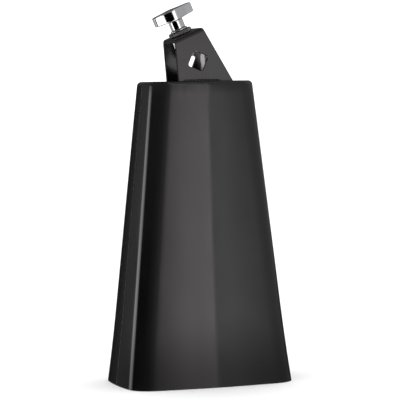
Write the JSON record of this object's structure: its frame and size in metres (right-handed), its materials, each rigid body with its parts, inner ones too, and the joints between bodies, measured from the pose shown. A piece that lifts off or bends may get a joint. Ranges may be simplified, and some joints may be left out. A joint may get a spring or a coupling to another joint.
{
  "type": "cowbell",
  "caption": "Tapered black steel cowbell, open at the mouth, with a welded rod clamp on its crown that a chrome T-handle screw tightens.",
  "frame": {"origin": "centre of the bell's mouth plane, which the bell stands on", "axes": "+Z from the mouth up to the crown and the clamp, +X along the broad faces towards the side the clamp's roof rises to, -Y out of the front broad face"},
  "size_m": [0.1162, 0.0776, 0.2523],
  "materials": {
    "bell_paint": "satin black paint",
    "weld_paint": "satin black paint over weld",
    "bracket_paint": "satin black paint",
    "black_oxide": "blackened, semi-gloss",
    "zinc_steel": "zinc plated",
    "chrome": "polished chrome"
  },
  "bodies": {
    "bell": {"bell_front_shell": "bell_paint", "bell_rear_shell": "bell_paint", "side_seam_weld_left": "weld_paint", "side_seam_weld_right": "weld_paint", "crown_seam_weld": "weld_paint", "clamp_bracket": "bracket_paint", "foot_weld_front": "weld_paint", "foot_weld_rear": "weld_paint", "weld_nut": "zinc_steel"},
    "lock_nut": {"lock_nut": "black_oxide"},
    "screw": {"screw_shaft": "zinc_steel"},
    "handle": {"t_handle": "chrome", "screw_collar": "chrome"}
  },
  "joints": [
    {"name": "screw_travel", "type": "slide", "parent": "bell", "child": "screw", "axis": [-0.3827, 0, 0.9239], "range_m": [0, 0.0091]},
    {"name": "handle_turn", "type": "hinge", "parent": "screw", "child": "handle", "pos_m": [-0.0016, 0, 0.2132], "axis": [-0.3827, 0, 0.9239], "range_deg": [0, 2610]},
    {"name": "lock_nut_spin", "type": "hinge", "parent": "bell", "child": "lock_nut", "pos_m": [-0.0016, 0, 0.2132], "axis": [-0.3827, 0, 0.9239], "continuous": true}
  ],
  "couplings": [
    {"joint": "screw_travel", "follows": "handle_turn", "m_per_rad": 0.00019894}
  ]
}
